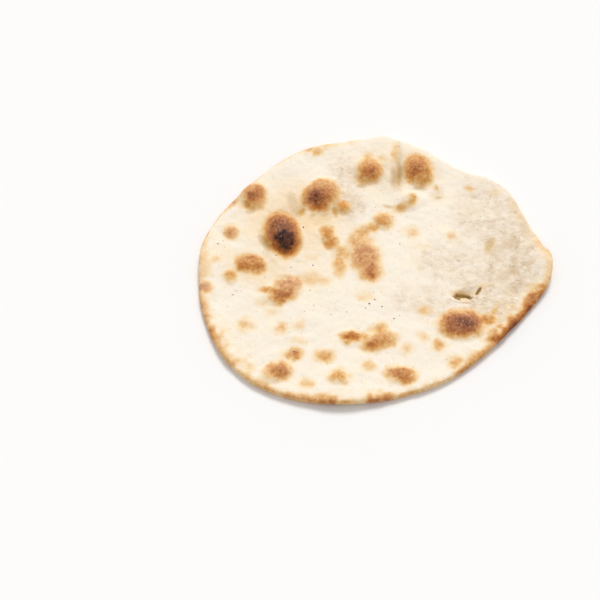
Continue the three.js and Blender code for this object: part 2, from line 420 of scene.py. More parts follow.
class RotiShape(bpy.types.PropertyGroup):
    """The sheet of dough."""

    dough: length("Dough", "Thickness of the sheet away from its edge", 3.1)
    rim_swell: length("Rim swell", "How much thicker the sheet is along its edge", 0.8)
    rim_band: length("Rim band", "Width of the band in which it thickens", 15)
    edge_round: length("Edge radius", "Radius of the rounded edge", 1.9)
    settled: length("Settled", "How far the soft sheet has slumped onto the surface", 0.9)
    slump_blend: length("Slump blend", "How gently slumped areas run into raised ones", 1.2)
    top_step: length("Upper step", "Spacing of the upper side's points", 0.7)
    base_step: length("Lower step", "Spacing of the lower side's points", 1.2)
    edge_rows: IntProperty(
        name="Edge rows", description="Rows of points round the rounded edge", default=9, min=3
    )
    torn_halvings: IntProperty(
        name="Torn skin detail", description="Times the points are doubled by the burst", default=2
    )


class RotiSurface(bpy.types.PropertyGroup):
    """The fine relief of the baked skin."""

    lump_height: length("Lump height", "Height of the soft unevenness", 0.6)
    lump_size: length("Lump size", "Width of the soft unevenness", 9)
    pimple_height: length("Pimple height", "Height of the small raised grains", 0.28)
    pimple_size: length("Pimple size", "Width of the small raised grains", 2.6)
    wrinkle_height: length("Wrinkle height", "Height of the leathery skin's wrinkles", 0.26)
    wrinkle_size: length("Wrinkle spacing", "Spacing of the leathery skin's wrinkles", 2.8)
    groove_height: length("Groove depth", "Depth of the leathery skin's grooves", 0.16)
    groove_size: length("Groove spacing", "Spacing of the leathery skin's grooves", 5)
    pore_height: length("Pore depth", "Depth of the pores", 0.4)
    pore_size: length("Pore spacing", "Spacing of the pores", 4.2)
    crinkle_height: length("Crinkle height", "Height of the toasted skin's crinkles", 0.34)
    crinkle_size: length("Crinkle size", "Width of the toasted skin's crinkles", 1.8)
    seed: IntProperty(name="Seed", description="Which random relief is made", default=7)


class RotiColours(bpy.types.PropertyGroup):
    """The colours of dough from raw to black."""

    cream: colour("Cream", "Dough with no toast", 249, 237, 220)
    warm_cream: colour("Warm cream", "Yellower patches of cream", 250, 236, 213)
    # Beige is partly the drier dough's own colour and partly painted shade.
    beige_and_shade: colour("Beige", "Drier, leathery dough", 217, 192, 159)
    # Hollow is painted shade in the hollows between the leathery dough's wrinkles.
    hollow_shade: colour("Hollow_Shade", "Hollows between the leathery dough's wrinkles", 206, 178, 138)
    # Wrinkle is painted shade of wrinkles too fine for the mesh.
    wrinkle: colour("Wrinkle", "Fine wrinkles of the leathery dough", 168, 140, 112)
    pale_gold: colour("Pale gold", "First tint of toast", 245, 220, 182)
    gold: colour("Gold", "Light toast", 232, 190, 131)
    amber: colour("Amber", "Orange toast", 211, 150, 81)
    tan: colour("Tan", "Orange brown toast", 183, 111, 48)
    brown: colour("Brown", "Brown toast", 151, 83, 32)
    umber: colour("Umber", "Dark toast", 90, 53, 31)
    black: colour("Black", "Burnt dough", 50, 29, 29)
    dusty_gold: colour("Floury gold", "Light toast under flour", 235, 195, 151)
    dusty_amber: colour("Floury amber", "Orange toast under flour", 214, 162, 117)
    dusty_tan: colour("Floury tan", "Toast under flour", 185, 127, 86)
    dusty_brown: colour("Floury brown", "Brown toast under flour", 152, 95, 64)
    dusty_umber: colour("Floury umber", "Dark toast under flour", 114, 68, 52)
    flour: colour("Flour", "Grains of flour on toast", 222, 180, 150)
    # Stain is partly real olive stain and partly painted shade. Inside is the dough within the burst bubble,
    # darkened with painted shade of its gap.
    olive_stain_and_shade: colour("Stain", "Dull olive stains", 176, 138, 66)
    inside: colour("Inside", "Dough inside the burst bubble", 176, 144, 84)
    bran: colour("Bran", "Flecks of bran", 220, 186, 148)
    char: colour("Char", "Specks of char", 66, 56, 50)
    floor: colour("Floor", "The pale floor", 248, 247, 246)


class RotiFlecks(bpy.types.PropertyGroup):
    """Flecks of bran and specks of char on the skin."""

    bran_count: IntProperty(
        name="Bran flecks", description="How many both sides would hold", default=1500, min=0
    )
    bran_small: length("Smallest fleck", "Width of the smallest bran fleck", 0.3)
    bran_large: length("Largest fleck", "Width of the largest bran fleck", 0.8)
    char_count: IntProperty(
        name="Char specks", description="How many both sides would hold", default=90, min=0
    )
    char_small: length("Smallest speck", "Width of the smallest char speck", 0.2)
    char_large: length("Largest speck", "Width of the largest char speck", 0.55)
    thickness: share("Thickness", "A fleck's thickness as a share of its width", 0.34)
    seed: IntProperty(name="Seed", description="Which random flecks are made", default=3)


class RotiStage(bpy.types.PropertyGroup):
    """The floor, the light and the camera."""

    height_angle: angle("Camera height", "Angle of the camera above the floor", 58)
    distance: length("Camera distance", "From the camera to what it looks at", 803)
    lens: FloatProperty(
        name="Lens", description="Focal length in millimetres", default=85, subtype="DISTANCE_CAMERA"
    )
    key_power: FloatProperty(name="Key light", description="Strength of the key light", default=1.86)
    key_spread: angle("Key spread", "How wide the key light looks from the bread", 22)
    key_bearing: angle("Key bearing", "Where the key light comes from, counted from +X", 80)
    key_height: angle("Key height", "Angle of the key light above the floor", 49)
    fill: FloatProperty(name="Fill light", description="Brightness of the surroundings", default=0.6)
    floor_size: length("Floor", "Width of the floor", 6000)


CAMERA_LOOKS_AT = Vector((-43.5, -25.9, 4)) * MM


# ---------------------------------------------------------------- the shape of the sheet


def noise(x, y, grain, seed):
    """Smooth random values between -1 and 1 that change over about one grain, in millimetres."""
    cells = 512
    lattice = np.random.default_rng(seed).uniform(-1, 1, (cells, cells))
    u, v = np.asarray(x) / grain, np.asarray(y) / grain
    column, row = np.floor(u).astype(int), np.floor(v).astype(int)
    along, up = smooth(u - column), smooth(v - row)

    def on_row(row):
        left, right = (lattice[row % cells, (column + i) % cells] for i in (0, 1))
        return lerp(left, right, along)

    return lerp(on_row(row), on_row(row + 1), up)


def smooth(share):
    share = np.clip(share, 0, 1)
    return share * share * (3 - 2 * share)


def lerp(first, second, share):
    return first + (second - first) * share


def step_between(low, high, value):
    """0 below low, 1 above high, and a smooth rise between them."""
    return smooth((value - low) / (high - low))


def noises(x, y, seed, *layers):
    """A sum of noises, each with its own height and grain."""
    return sum(height * noise(x, y, grain, seed + i) for i, (height, grain) in enumerate(layers))


def waves_at(waves, x, y):
    return sum(height * np.sin(across * x + up * y + start) for height, across, up, start in waves)


def oval_share(oval, x, y):
    """How far points lie from an oval's middle, where 1 is its outline."""
    angle = math.radians(oval.turn)
    across = (x - oval.x) * math.cos(angle) + (y - oval.y) * math.sin(angle)
    along = (y - oval.y) * math.cos(angle) - (x - oval.x) * math.sin(angle)
    return np.hypot(across / oval.wide, along / oval.long)


def dome(share):
    """Height of a bubble that is 1 high, by the share of the way to its outline."""
    return (1 - np.minimum(share, 1) ** 2.4) ** 1.5


def bubbles_at(x, y):
    wandered_x = x + waves_at(SIDEWAYS_WAVES, x, y)
    wandered_y = y + waves_at(LENGTHWAYS_WAVES, x, y)
    heights = [b.rise * dome(oval_share(b, wandered_x, wandered_y)) for b in BUBBLES]
    return np.max(heights, axis=0)


def crease_at(x, y):
    start, end = np.array(CREASE_FROM), np.array(CREASE_TO)
    run = end - start
    nearest = np.clip(((x - start[0]) * run[0] + (y - start[1]) * run[1]) / (run @ run), 0, 1)
    away = np.hypot(x - start[0] - nearest * run[0], y - start[1] - nearest * run[1])
    return CREASE_DEPTH * np.exp(-((away / CREASE_HALF_WIDTH) ** 2)) * (1 - CREASE_FADE * nearest)


def lift_at(shape, x, y):
    """Height of the sheet's lower side before it slumps. Below 0 it lies on the surface."""
    swelling = sum(s.rise * np.exp(-((x - s.x) ** 2 + (y - s.y) ** 2) / s.reach**2) for s in SWELLS)
    return swelling + waves_at(SHEET_WAVES, x, y) - crease_at(x, y) - shape.settled / MM


def base_at(shape, x, y):
    return np.maximum(0, lift_at(shape, x, y))


def top_at(shape, x, y, from_edge):
    lift = lift_at(shape, x, y)
    slumped = (lift + np.hypot(lift, shape.slump_blend / MM)) / 2
    rim = 1 - step_between(shape.edge_round / MM, shape.rim_band / MM, from_edge)
    pit = BURST_DEPTH * dome(oval_share(BURST, x, y))
    sheet = slumped + shape.dough / MM + rim * shape.rim_swell / MM
    return sheet + bubbles_at(x, y) - pit


def closed_curve(points, steps=60):
    """Points along the smooth closed curve through the given ones, and how far along each one is."""
    here = np.array(points, float)
    before, after, beyond = (np.roll(here, shift, 0) for shift in (1, -1, -2))
    t = np.linspace(0, 1, steps, endpoint=False)[:, None, None]
    curve = 0.5 * (
        2 * here
        + (after - before) * t
        + (2 * before - 5 * here + 4 * after - beyond) * t**2
        + (3 * here - before - 3 * after + beyond) * t**3
    )
    curve = curve.transpose(1, 0, 2).reshape(-1, 2)
    curve = np.vstack([curve, curve[:1]])
    walked = np.concatenate([[0], np.cumsum(np.hypot(*np.diff(curve, axis=0).T))])
    return curve, walked


FAR = 1000  # inset of what is nowhere near the edge


class Skin:
    """Rings of points out over the upper side, round the edge and in again under the lower side."""

    def __init__(self, shape):
        self.shape = shape
        self.edge_round = shape.edge_round / MM
        self.curve, self.walked = closed_curve(EDGE)
        self.rings = []
        self.faces = []
        self.rings += self.side_rings(shape.top_step / MM, 1)
        self.edge_rings()
        self.rings += list(self.side_rings(shape.base_step / MM, -1))[::-1]
        self.close()

    def ring(self, count, inset_of, level, reach):
        """Points at one inset from the edge: x, y, z, inset, level and the way to its map's rim."""
        shares = np.arange(count) / count * self.walked[-1]
        edge_x, edge_y = (np.interp(shares, self.walked, self.curve[:, axis]) for axis in (0, 1))
        radius = np.hypot(edge_x, edge_y)
        inset = inset_of(radius)
        x, y = edge_x * (1 - inset / radius), edge_y * (1 - inset / radius)
        base, top = base_at(self.shape, x, y), top_at(self.shape, x, y, inset)
        z = (top + base + level * (top - base)) / 2
        return np.stack([x, y, z, inset, np.full(count, level), np.full(count, reach)], 1)

    def side_rings(self, step, level):
        rim_count = round(self.walked[-1] / step)
        steps = round(self.walked[-1] / (2 * math.pi) / step)
        for k in range(1, steps + 1):
            share = k / steps
            count = max(6, round(rim_count * share))
            yield self.ring(
                count, lambda radius: radius - (radius - self.edge_round) * share, level, share
            )

    def edge_rings(self):
        count = len(self.rings[-1])
        rows = self.shape.edge_rows
        for row in range(1, rows):
            angle = math.pi * row / rows
            inset = self.edge_round * (1 - math.sin(angle))
            reach = 1 + min(row, rows - row) / rows * EDGE_ON_MAP
            self.rings.append(self.ring(count, lambda radius: np.full(count, inset), math.cos(angle), reach))

    def close(self):
        """Joins the rings with triangles, and closes the middle of each side."""
        middle = [0, 0, float(top_at(self.shape, 0.0, 0.0, np.inf)), FAR, 1, 0]
        below = [0, 0, float(base_at(self.shape, 0.0, 0.0)), FAR, -1, 0]
        self.points = np.vstack([middle, *self.rings, below])
        start = 1
        first = len(self.rings[0])
        self.faces += [(0, start + i, start + (i + 1) % first) for i in range(first)]
        for inner, outer in zip(self.rings, self.rings[1:]):
            self.faces += zipped(start, len(inner), start + len(inner), len(outer))
            start += len(inner)
        last = len(self.rings[-1])
        self.faces += [(start + (i + 1) % last, start + i, start + last) for i in range(last)]


def zipped(inner_start, inner_count, outer_start, outer_count):
    """Triangles between two rings that may hold different numbers of points."""
    faces = []
    i = j = 0
    while i < inner_count or j < outer_count:
        inner, outer = inner_start + i % inner_count, outer_start + j % outer_count
        if i == inner_count or (j < outer_count and (j + 1) * inner_count <= (i + 1) * outer_count):
            j += 1
            faces.append((inner, outer, outer_start + j % outer_count))
        else:
            i += 1
            faces.append((inner, outer, inner_start + i % inner_count))
    return faces


def torn_at(x, y):
    """How far the skin is raised or sunk round the burst and in the fold, and how much painted shade it
    gets.
    """
    ragged = 0.1 * noise(x, y, 1.3, 51)
    round_gap = oval_share(GAP, x, y) + ragged
    round_flap = oval_share(FLAP, x, y) + ragged
    round_slit = oval_share(SLIT, x, y)
    gap = (1 - step_between(0.72, 0.98, round_gap)) * step_between(0.9, 1.12, round_flap)
    slit = 1 - step_between(0.6, 1.1, round_slit)
    towards_gap = np.clip(((y - FLAP.y) - 0.5 * (x - FLAP.x)) / FLAP.long, -1, 1)
    flap = (1 - step_between(0.8, 1.05, round_flap)) * FLAP_RISE * (0.4 + 0.6 * towards_gap)
    below = step_between(1, -2, y - GAP.y)
    swollen = (0.1 + 0.35 * below) * np.exp(-(((round_gap - 1.3) / 0.3) ** 2))
    beside_slit = 0.3 * np.exp(-(((round_slit - 1.9) / 0.7) ** 2))
    raised = flap + (swollen + beside_slit) * (1 - np.maximum(gap, slit))
    # Painted shade on the skin above the gap.
    above = LIP_SHADE * np.exp(-(oval_share(LIP, x, y) ** 2))
    # Painted shade in the fold.
    fold = np.exp(-(oval_share(FOLD, x + 0.5 * noise(x, y, 6, 52), y) ** 2))
    sunk = GAP_DEPTH * gap + SLIT_DEPTH * slit + FOLD_DEPTH * fold
    return raised - sunk, np.maximum(np.maximum(gap, slit), np.maximum(above, FOLD_SHADE * fold))


# ---------------------------------------------------------------- where the sheet is toasted


HALO = 2.4  # how far the faint fade of a spot reaches past its outline
WANDER = ((1.1, 4.6), (0.6, 1.8))  # how far a spot's outline strays, and over what length
DOMED_WANDER = 0.5  # the spots on the domes keep closer to their ovals


def spots_at(spots, x, y, wander=1.0):
    """Toast and flour dust of a set of spots, whose outlines wander at random."""
    wandered_x = x + wander * noises(x, y, 21, *WANDER)
    wandered_y = y + wander * noises(x, y, 23, *WANDER)
    toast = np.zeros_like(x)
    dust = np.zeros_like(x)
    weight = np.full_like(x, 1e-6)  # never quite 0, because the dust is divided by it
    for spot in spots:
        away = oval_share(spot, wandered_x, wandered_y)
        end = 1 + 2 * HALO / (spot.wide + spot.long)
        level = spot.toast * (1 - step_between(spot.crisp, end, away))
        toast = (toast**4 + level**4) ** 0.25
        # Flour stays on the upper side of a spot, and its foot is more golden: partly flour, and partly
        # painted light, a paler lit upper side and a richer foot in painted shade.
        floury = spot.dust + 0.35 * np.clip((y - spot.y) / spot.long, -1, 1)
        floury *= 1 - 0.6 * step_between(0.5, 1.1, away)
        dust += np.clip(floury, 0, 1) * level**3
        weight += level**3
    return toast, dust / weight


def rim_toast_at(x, y, inset):
    """Toast along the edge, which fades inwards and towards the ends of each stretch."""
    bearing = np.degrees(np.arctan2(y, x))
    ragged = 1 + noises(x, y, 31, (0.45, 3.1), (0.35, 9))
    patchy = 1 + noises(x, y, 34, (0.3, 5), (0.2, 14))
    wander = 2.5 * noise(x, y, 7, 33)
    toast = np.zeros_like(x)
    dust = np.zeros_like(x)
    for stretch in RIM_TOAST:
        middle, half = (stretch.start + stretch.end) / 2, (stretch.end - stretch.start) / 2
        off = np.abs((bearing - middle + 180) % 360 - 180) - half + wander
        level = stretch.toast * patchy * (1 - step_between(-2, 5, off))
        level = level * np.exp(-((inset / (stretch.width * ragged)) ** 2))
        dust = np.where(level > toast, stretch.dust, dust)
        toast = np.maximum(toast, level)
    return toast, dust


UNDER_SPOTS = 150
UNDER_REACH = (97, 87.3)  # how far from the middle they lie along X and Y


def under_spots(seed):
    """Random spots for the lower side, which was stuck to the oven's wall."""
    random = np.random.default_rng(seed)
    spots = []
    for _ in range(UNDER_SPOTS):
        bearing, out = random.uniform(0, math.tau), math.sqrt(random.uniform(0, 1))
        size = 1.6 + 6.5 * random.uniform(0, 1) ** 3.2
        spots.append(
            Spot(
                x=UNDER_REACH[0] * out * math.cos(bearing), y=UNDER_REACH[1] * out * math.sin(bearing),
                wide=size * random.uniform(0.8, 1.3), long=size * random.uniform(0.7, 1.1),
                turn=random.uniform(0, 180), toast=0.2 + 0.42 * random.uniform(0, 1) ** 1.2,
                crisp=random.uniform(0.1, 0.55), dust=random.uniform(0.1, 0.8),
            )
        )  # fmt: skip
    return spots


def patches_at(patches, x, y):
    """Strength of a set of patches whose edges are ragged."""
    ragged = noises(x, y, 41, (0.22, 14), (0.14, 5), (0.1, 2))
    shares = (oval_share(patch, x, y) + ragged for patch in patches)
    strengths = [p.strength * (1 - step_between(0.35, 1.2, away)) for p, away in zip(patches, shares)]
    return np.max(strengths, axis=0)


# ---------------------------------------------------------------- node trees


class Graph:
    """Adds nodes to a node tree."""

    def __init__(self, tree):
        self.tree = tree

    def fill(self, node, inputs):
        """Fills a node's inputs, each by a socket or a value."""
        for name, value in inputs.items():
            if isinstance(value, bpy.types.NodeSocket):
                self.tree.links.new(value, node.inputs[name])
            else:
                node.inputs[name].default_value = value

    def add(self, kind, inputs=None, **settings):
        node = self.tree.nodes.new(kind)
        for name, value in settings.items():
            setattr(node, name, value)
        self.fill(node, inputs or {})
        return node

    def out(self, kind, inputs=None, **settings):
        """The first output of a new node."""
        return self.add(kind, inputs, **settings).outputs[0]

    def math(self, operation, *values, clamp=False):
        inputs = dict(enumerate(values))
        return self.out("ShaderNodeMath", inputs, operation=operation, use_clamp=clamp)

    def minus(self, first, second):
        return self.math("SUBTRACT", first, second)

    def plus(self, *values):
        return reduce(lambda total, value: self.math("ADD", total, value), values)

    def times(self, *values):
        return reduce(lambda product, value: self.math("MULTIPLY", product, value), values)

    def vector(self, operation, *values):
        return self.out("ShaderNodeVectorMath", dict(enumerate(values)), operation=operation)

    def scaled(self, vector, amount):
        return self.out("ShaderNodeVectorMath", {0: vector, "Scale": amount}, operation="SCALE")

    def mixed(self, factor, first, second):
        """A mix of two colours."""
        inputs = {0: factor, 6: first, 7: second}
        return self.add("ShaderNodeMix", inputs, data_type="RGBA").outputs[2]

    def between(self, value, low, high, to_low=0.0, to_high=1.0):
        """The value from low to high, as a smooth rise from to_low to to_high."""
        inputs = {"Value": value, "From Min": low, "From Max": high, "To Min": to_low, "To Max": to_high}
        return self.out("ShaderNodeMapRange", inputs, interpolation_type="SMOOTHSTEP")

    def noise(self, place, size, detail=2.0, seed=0.0, roughness=0.5):
        """Noise whose grains are about size metres wide."""
        inputs = {"Vector": place, "W": seed, "Detail": detail, "Roughness": roughness}
        inputs["Scale"] = self.inverse(size)
        return self.out("ShaderNodeTexNoise", inputs, noise_dimensions="4D")

    def inverse(self, size):
        return self.math("DIVIDE", 1.0, size) if isinstance(size, bpy.types.NodeSocket) else 1.0 / size

    def grain(self, group, place, size):
        return self.out("ShaderNodeGroup", {"Vector": place, "Size": size}, node_tree=group)

    def ramp(self, factor, stops):
        node = self.add("ShaderNodeValToRGB", {"Fac": factor})
        elements = node.color_ramp.elements
        while len(elements) < len(stops):
            elements.new(1.0)
        for element, (place, colour) in zip(elements, stops):
            element.position = place
            element.color = (*colour, 1)
        return node.outputs[0]


SOCKETS = {float: "NodeSocketFloat", int: "NodeSocketInt"}
SHAPE_IN = {"Geometry": "NodeSocketGeometry", "Material": "NodeSocketMaterial"}
SHAPE_OUT = {"Geometry": "NodeSocketGeometry"}


def new_tree(name, kind, inputs, outputs):
    """The graph of a new tree, and its inputs, each named with its type or a number's default."""
    tree = bpy.data.node_groups.new(name, kind)
    for label, value in inputs.items():
        socket_type = SOCKETS.get(type(value), value)
        socket = tree.interface.new_socket(label, in_out="INPUT", socket_type=socket_type)
        if type(value) in SOCKETS:
            socket.default_value = value
    for label, socket_type in outputs.items():
        tree.interface.new_socket(label, in_out="OUTPUT", socket_type=socket_type)
    graph = Graph(tree)
    return graph, graph.add("NodeGroupInput").outputs


def run_nodes(piece, tree, values):
    """Runs a geometry tree on a piece and keeps what it shows as the piece's own mesh."""
    modifier = piece.modifiers.new(tree.name, "NODES")
    modifier.node_group = tree
    for name, value in values.items():
        modifier[tree.interface.items_tree[name].identifier] = value
    depsgraph = bpy.context.evaluated_depsgraph_get()
    before = piece.data
    piece.data = bpy.data.meshes.new_from_object(
        piece.evaluated_get(depsgraph), preserve_all_data_layers=True, depsgraph=depsgraph
    )
    piece.modifiers.clear()
    bpy.data.meshes.remove(before)
    piece.data.name = piece.name
    if not piece.data.polygons:
        raise RuntimeError(f"{piece.name} came out empty")


RELIEFS = ("lump", "pimple", "wrinkle", "groove", "pore", "crinkle")


def relief_tree():
    """The fine relief of baked dough, pushed along the normal of a mesh."""
    inputs = SHAPE_IN | {"Seed": 0.0}
    inputs |= {f"{kind} height": 0.0002 for kind in RELIEFS}
    inputs |= {f"{kind} size": 0.004 for kind in RELIEFS}
    graph, given = new_tree("dough_relief", "GeometryNodeTree", inputs, SHAPE_OUT)
    place = graph.out("GeometryNodeInputPosition")
    upper, toast, leather = (
        graph.out("GeometryNodeInputNamedAttribute", {"Name": name}, data_type="FLOAT")
        for name in ("upper", "toast", "leather")
    )

    def raw(kind, where, detail, seed_step):
        """Noise from -1 to 1, most of it within a half."""
        seed = graph.plus(given["Seed"], seed_step)
        value = graph.noise(where, given[f"{kind} size"], detail, seed)
        return graph.times(graph.minus(value, 0.5), 2.0)

    def layer(kind, where, detail, seed_step):
        return graph.times(raw(kind, where, detail, seed_step), given[f"{kind} height"])

    lumps = layer("lump", place, 1.0, 0.0)
    pimples = layer("pimple", place, 1.5, 3.7)
    # Wrinkles and grooves are drawn out along X, and bend.
    bend = graph.noise(place, 0.03, 1.0, 5.1)
    bent = graph.vector("ADD", place, graph.scaled(bend, 0.012))
    wrinkles = layer("wrinkle", graph.vector("MULTIPLY", bent, (0.45, 1, 1)), 2.0, 9.2)
    folded = raw("groove", graph.vector("MULTIPLY", bent, (0.7, 1, 1)), 2.0, 15.3)
    line = graph.between(graph.math("ABSOLUTE", folded), 0.0, 0.14, 1.0, 0.0)
    grooves = graph.times(line, given["groove height"])
    leathery = graph.times(graph.minus(wrinkles, grooves), leather)
    # The hollows between the wrinkles are noted, and later get painted shade.
    hollow_shade = graph.between(leathery, -0.0002, 0.00002, 1.0, 0.0)
    noted = graph.out(
        "GeometryNodeStoreNamedAttribute",
        {"Geometry": given["Geometry"], "Name": "hollow_shade", "Value": hollow_shade},
        data_type="FLOAT",
        domain="POINT",
    )
    crisped = graph.math("MAXIMUM", graph.between(toast, 0.15, 0.5), graph.times(leather, 0.35))
    crinkles = graph.times(layer("crinkle", place, 2.0, 12.4), crisped)

    # Only some of the cells hold a pore, more of them where the skin is leathery.
    scale = graph.inverse(given["pore size"])
    cells = graph.add("ShaderNodeTexVoronoi", {"Vector": place, "Randomness": 1.0, "Scale": scale}).outputs
    pitted = graph.between(cells["Distance"], 0.0, 0.22, 1.0, 0.0)
    lot = graph.out("FunctionNodeSeparateColor", {0: cells["Color"]})
    chosen = graph.math("GREATER_THAN", lot, graph.minus(0.78, graph.times(leather, 0.44)))
    pores = graph.times(pitted, chosen, given["pore height"])

    soft = graph.plus(lumps, pimples, crinkles)
    above = graph.minus(graph.plus(soft, leathery), pores)
    # The lower side is only pressed in, so that nothing reaches below what it rests on.
    below = graph.minus(graph.times(graph.math("ABSOLUTE", soft), -0.4), pores)
    height = graph.out("ShaderNodeMix", {0: upper, 2: below, 3: above}, data_type="FLOAT")
    offset = graph.scaled(graph.out("GeometryNodeInputNormal"), height)
    moved = graph.out("GeometryNodeSetPosition", {"Geometry": noted, "Offset": offset})
    # Nothing reaches below the surface that the roti rests on.
    x, y, z = graph.add("ShaderNodeSeparateXYZ", {0: place}).outputs
    resting = graph.out("ShaderNodeCombineXYZ", {0: x, 1: y, 2: graph.math("MAXIMUM", z, 0.0)})
    clear = graph.out("GeometryNodeSetPosition", {"Geometry": moved, "Position": resting})
    finish_tree(graph, graph.out("GeometryNodeSetShadeSmooth", {0: clear}), given["Material"])
    return graph.tree


def finish_tree(graph, geometry, material):
    """Ends a tree with plain geometry in one material."""
    realized = graph.out("GeometryNodeRealizeInstances", {0: geometry})
    painted = graph.out("GeometryNodeSetMaterial", {"Geometry": realized, "Material": material})
    graph.add("NodeGroupOutput", {0: painted})


def scatter_tree():
    """Flat chips strewn over a mesh at random, none of them below the lowest height."""
    inputs = SHAPE_IN | {
        "Density": 1000.0, "Lowest": 0.0005, "Smallest": 0.0003, "Largest": 0.001,
        "Thickness": 0.3, "Seed": 0,
    }  # fmt: skip
    graph, given = new_tree("strewn_chips", "GeometryNodeTree", inputs, SHAPE_OUT)
    place = graph.out("GeometryNodeInputPosition")
    height = graph.add("ShaderNodeSeparateXYZ", {0: place}).outputs["Z"]
    spread = graph.add(
        "GeometryNodeDistributePointsOnFaces",
        {
            "Mesh": given["Geometry"], "Density": given["Density"], "Seed": given["Seed"],
            "Selection": graph.math("GREATER_THAN", height, given["Lowest"]),
        },
    ).outputs  # fmt: skip

    def random(low, high, seed_step):
        seed = graph.plus(given["Seed"], seed_step)
        node = graph.add("FunctionNodeRandomValue", {2: low, 3: high, "Seed": seed}, data_type="FLOAT")
        return node.outputs[1]

    skewed = graph.math("POWER", random(0.0, 1.0, 1.0), 2.0)
    span = graph.minus(given["Largest"], given["Smallest"])
    width = graph.plus(given["Smallest"], graph.times(span, skewed))
    sides = {0: 1.0, 1: random(0.45, 1.0, 2.0), 2: given["Thickness"]}
    turned = graph.out(
        "FunctionNodeRotateEuler",
        {0: spread["Rotation"], "Angle": random(0.0, math.tau, 3.0), "Axis": (0, 0, 1)},
        rotation_type="AXIS_ANGLE",
        space="LOCAL",
    )
    strewn = graph.out(
        "GeometryNodeInstanceOnPoints",
        {
            "Points": spread["Points"],
            "Instance": graph.out("GeometryNodeMeshIcoSphere", {"Radius": 0.5, "Subdivisions": 1}),
            "Rotation": turned,
            "Scale": graph.scaled(graph.out("ShaderNodeCombineXYZ", sides), width),
        },
    )
    finish_tree(graph, strewn, given["Material"])
    return graph.tree


# ---------------------------------------------------------------- materials


def grain_group():
    """Grainy noise from -1 to 1, with a coarse and a fine part."""
    inputs = {"Vector": "NodeSocketVector", "Size": 0.001}
    graph, given = new_tree("toast_grain", "ShaderNodeTree", inputs, {"Grain": "NodeSocketFloat"})
    coarse = graph.noise(given["Vector"], given["Size"], 1.0, 1.0)
    fine = graph.noise(given["Vector"], graph.times(given["Size"], 0.42), 1.0, 6.0)
    both = graph.plus(graph.times(coarse, 0.6), graph.times(fine, 0.4))
    graph.add("NodeGroupOutput", {0: graph.times(graph.minus(both, 0.5), 4.0)})
    return graph.tree


TOAST_STOPS = (0.0, 0.12, 0.25, 0.42, 0.58, 0.74, 0.88, 1.0)
RICH_TOAST = ("cream", "pale_gold", "gold", "amber", "tan", "brown", "umber", "black")
FLOURY_TOAST = (
    "cream", "pale_gold", "dusty_gold", "dusty_amber", "dusty_tan", "dusty_brown", "dusty_umber", "black",
)  # fmt: skip
MASKS = ("toast", "dust", "leather", "stain_and_shade_mask", "hollow_shade")  # what the mesh says at each of its points


def dough_colour_group(colours, grain):
    """The colour of dough by how toasted, floury and leathery it is, with stains and painted shade."""
    inputs = {"Vector": "NodeSocketVector"} | {mask.title(): 0.0 for mask in MASKS}
    outputs = {"Color": "NodeSocketColor", "Toast": "NodeSocketFloat"}
    graph, given = new_tree("dough_colour", "ShaderNodeTree", inputs, outputs)
    place, toast, dust, leather, stain_and_shade_mask, hollow_shade = (given[name] for name in inputs)

    # Toast breaks up into grains, most of all where it is neither pale nor black.
    stipple = graph.grain(grain, place, 0.0018)
    grained = graph.plus(toast, graph.times(stipple, graph.between(toast, 0.06, 0.5, 0.02, 0.18)))
    mottle = graph.minus(graph.noise(place, 0.0045, 3.0, 2.0), 0.52)
    uneven = graph.between(toast, 0.04, 0.4, 0.1, 0.42)
    grained = graph.math("ADD", grained, graph.times(mottle, uneven), clamp=True)

    def toasted(names):
        return graph.ramp(grained, [(at, getattr(colours, name)) for at, name in zip(TOAST_STOPS, names)])

    def tinted(under, name, amount):
        return graph.mixed(amount, under, (*getattr(colours, name), 1))

    result = graph.mixed(dust, toasted(RICH_TOAST), toasted(FLOURY_TOAST))
    floured = graph.between(graph.noise(place, 0.0013, 2.0, 8.0), 0.52, 0.7)
    on_toast = graph.times(graph.between(toast, 0.25, 0.5), dust)
    cover = graph.between(toast, 0.72, 0.92, 0.52, 0.25)
    result = tinted(result, "flour", graph.times(floured, on_toast, cover))

    raw = graph.between(toast, 0.08, 0.3, 1.0, 0.0)
    yellowish = graph.between(graph.noise(place, 0.014, 3.0, 14.0), 0.46, 0.7, 0.0, 0.7)
    result = tinted(result, "warm_cream", graph.times(yellowish, raw))
    # Leathery dough turns beige: partly its own colour, and partly painted shade.
    patches = graph.between(graph.noise(place, 0.005, 4.0, 4.0, 0.6), 0.22, 0.84)
    result = tinted(result, "beige_and_shade", graph.times(leather, raw, patches))
    # Painted shade in the hollows between the wrinkles.
    result = tinted(result, "hollow_shade", graph.times(hollow_shade, raw, 0.3))
    # Short fine wrinkles, too narrow for the mesh, drawn as lines of painted shade.
    across = graph.vector("MULTIPLY", place, (0.6, 1, 1))
    fine = graph.math("ABSOLUTE", graph.minus(graph.noise(across, 0.0042, 3.0, 21.0, 0.6), 0.5))
    broken = graph.between(graph.noise(place, 0.006, 1.0, 33.0), 0.46, 0.6)
    lined = graph.times(graph.between(fine, 0.0, 0.035, 0.42, 0.0), broken)
    result = tinted(result, "wrinkle", graph.times(leather, raw, lined))
    # Stains and painted shade: olive in the lee of bubbles, in the fold and over the gap's lip, and the
    # darker painted shade of the burst's gap and slit.
    stain_and_shade_colour = tinted((*colours.olive_stain_and_shade, 1), "inside", graph.between(stain_and_shade_mask, 0.7, 1.0))
    graph.add("NodeGroupOutput", {0: graph.mixed(stain_and_shade_mask, result, stain_and_shade_colour), 1: grained})
    return graph.tree


def surface_material(name, inputs):
    """A plain rough material, and the graph and shader to build on."""
    material = bpy.data.materials.new(name)
    material.use_nodes = True
    graph = Graph(material.node_tree)
    shader = material.node_tree.nodes["Principled BSDF"]
    graph.fill(shader, {"Specular IOR Level": 0.16} | inputs)
    return material, graph, shader


